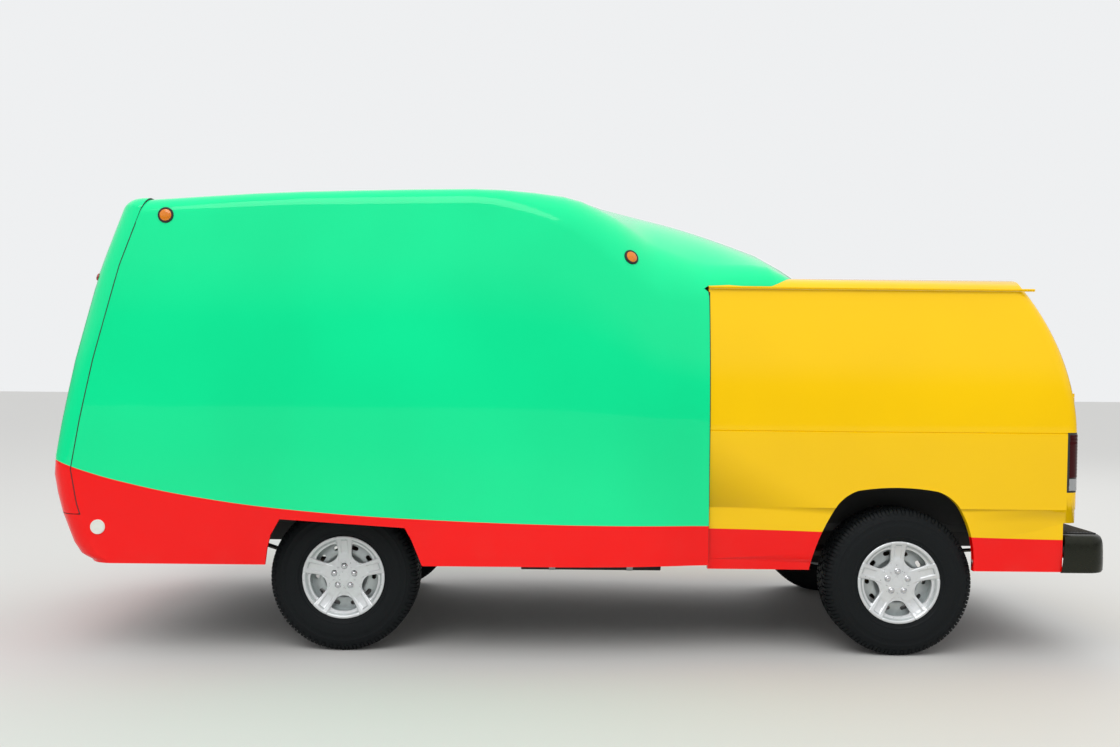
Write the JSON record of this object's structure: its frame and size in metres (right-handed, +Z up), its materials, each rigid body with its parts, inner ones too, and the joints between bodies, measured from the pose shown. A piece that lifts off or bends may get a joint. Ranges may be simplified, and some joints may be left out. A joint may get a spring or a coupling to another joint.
{
  "type": "food truck",
  "caption": "small catering truck with a tall rounded coach body on a van chassis, kerb-side service hatch, fold-down counter and hinged rear doors",
  "frame": {"origin": "centre of the whole vehicle on the ground", "axes": "+X runs forward to the nose, +Y to the left side of the vehicle, +Z up"},
  "size_m": [5.414, 2.204, 2.3799],
  "materials": {
    "gloss_green": "glossy green over a red lower band",
    "gloss_yellow": "glossy yellow over a red lower band",
    "glass": "clear, slightly tinted",
    "black_plastic": "matte black",
    "lens": "moulded lens",
    "frame_paint": "black chassis paint",
    "iron": "bare casting",
    "steel": "dull silver",
    "cover": "bright silver",
    "bumper_paint": "satin dark grey",
    "tyre": "black rubber",
    "seat_cloth": "dark cloth"
  },
  "bodies": {
    "vehicle": {"chassis_frame": "frame_paint", "coach_shell_left": "gloss_green", "coach_shell_right": "gloss_green", "dash": "black_plastic", "driver_seat": "seat_cloth", "driveshaft": "frame_paint", "engine_block": "iron", "engine_cover": "frame_paint", "exhaust": "steel", "floor": "frame_paint", "front_axle": "frame_paint", "front_cap": "gloss_green", "front_lamps": "lens", "fuel_tank": "frame_paint", "grille": "black_plastic", "leaf_springs": "iron", "rear_axle": "frame_paint", "rear_bumper": "bumper_paint", "side_lamps": "lens", "steering_wheel": "black_plastic", "tail_lamps": "lens", "van_roof": "gloss_yellow", "van_side_left": "gloss_yellow", "van_side_right": "gloss_yellow", "wheel_boxes": "frame_paint", "windscreen": "glass"},
    "wheel_front_left": {"tyre_front_left": "tyre", "wheel_front_left": "steel", "wheel_cover_front_left": "cover", "brake_disc_front_left": "iron"},
    "wheel_front_right": {"tyre_front_right": "tyre", "wheel_front_right": "steel", "wheel_cover_front_right": "cover", "brake_disc_front_right": "iron"},
    "wheel_rear_left": {"tyre_rear_left": "tyre", "wheel_rear_left": "steel", "wheel_cover_rear_left": "cover", "brake_drum_rear_left": "iron"},
    "wheel_rear_right": {"tyre_rear_right": "tyre", "wheel_rear_right": "steel", "wheel_cover_rear_right": "cover", "brake_drum_rear_right": "iron"},
    "knuckle_left": {"knuckle_left": "frame_paint"},
    "knuckle_right": {"knuckle_right": "frame_paint"},
    "tie_rod": {"tie_rod": "frame_paint"},
    "cab_door": {"cab_door": "gloss_green", "cab_door_glass": "glass"},
    "service_hatch": {"service_hatch": "gloss_green"},
    "counter_flap": {"counter_flap": "gloss_green"},
    "rear_door_left": {"rear_door_left": "gloss_yellow", "rear_glass_left": "glass"},
    "rear_door_right": {"rear_door_right": "gloss_yellow", "rear_glass_right": "glass"}
  },
  "joints": [
    {"name": "steer_left", "type": "hinge", "parent": "vehicle", "child": "knuckle_left", "pos_m": [1.167, 0.7, 0.375], "axis": [0, 0, 1], "range_deg": [-30, 30]},
    {"name": "steer_right", "type": "hinge", "parent": "vehicle", "child": "knuckle_right", "pos_m": [1.167, -0.7, 0.375], "axis": [0, 0, 1], "range_deg": [-30, 30]},
    {"name": "tie_rod_slide", "type": "slide", "parent": "vehicle", "child": "tie_rod", "axis": [0, 1, 0], "range_m": [-0.085, 0.085]},
    {"name": "spin_front_left", "type": "hinge", "parent": "knuckle_left", "child": "wheel_front_left", "pos_m": [1.167, 0.827, 0.375], "axis": [0, 1, 0], "continuous": true},
    {"name": "spin_front_right", "type": "hinge", "parent": "knuckle_right", "child": "wheel_front_right", "pos_m": [1.167, -0.827, 0.375], "axis": [0, 1, 0], "continuous": true},
    {"name": "spin_rear_left", "type": "hinge", "parent": "vehicle", "child": "wheel_rear_left", "pos_m": [-1.657, 0.827, 0.375], "axis": [0, 1, 0], "continuous": true},
    {"name": "spin_rear_right", "type": "hinge", "parent": "vehicle", "child": "wheel_rear_right", "pos_m": [-1.657, -0.827, 0.375], "axis": [0, 1, 0], "continuous": true},
    {"name": "cab_door_hinge", "type": "hinge", "parent": "vehicle", "child": "cab_door", "pos_m": [2.21, -1.097, 1.33], "axis": [0, 0, 1], "range_deg": [0, 80]},
    {"name": "service_hatch_hinge", "type": "hinge", "parent": "vehicle", "child": "service_hatch", "pos_m": [0.417, -1.0778, 1.963], "axis": [-1, 0, 0], "range_deg": [0, 100]},
    {"name": "counter_flap_hinge", "type": "hinge", "parent": "vehicle", "child": "counter_flap", "pos_m": [0.417, -1.097, 0.987], "axis": [1, 0, 0], "range_deg": [0, 90]},
    {"name": "rear_door_left_hinge", "type": "hinge", "parent": "vehicle", "child": "rear_door_left", "pos_m": [-2.579, 0.829, 1.25], "axis": [0, 0, -1], "range_deg": [0, 170]},
    {"name": "rear_door_right_hinge", "type": "hinge", "parent": "vehicle", "child": "rear_door_right", "pos_m": [-2.579, -0.829, 1.25], "axis": [0, 0, 1], "range_deg": [0, 170]}
  ],
  "couplings": [
    {"joint": "steer_right", "follows": "steer_left", "ratio": 1},
    {"joint": "tie_rod_slide", "follows": "steer_left", "m_per_rad": -0.135}
  ]
}
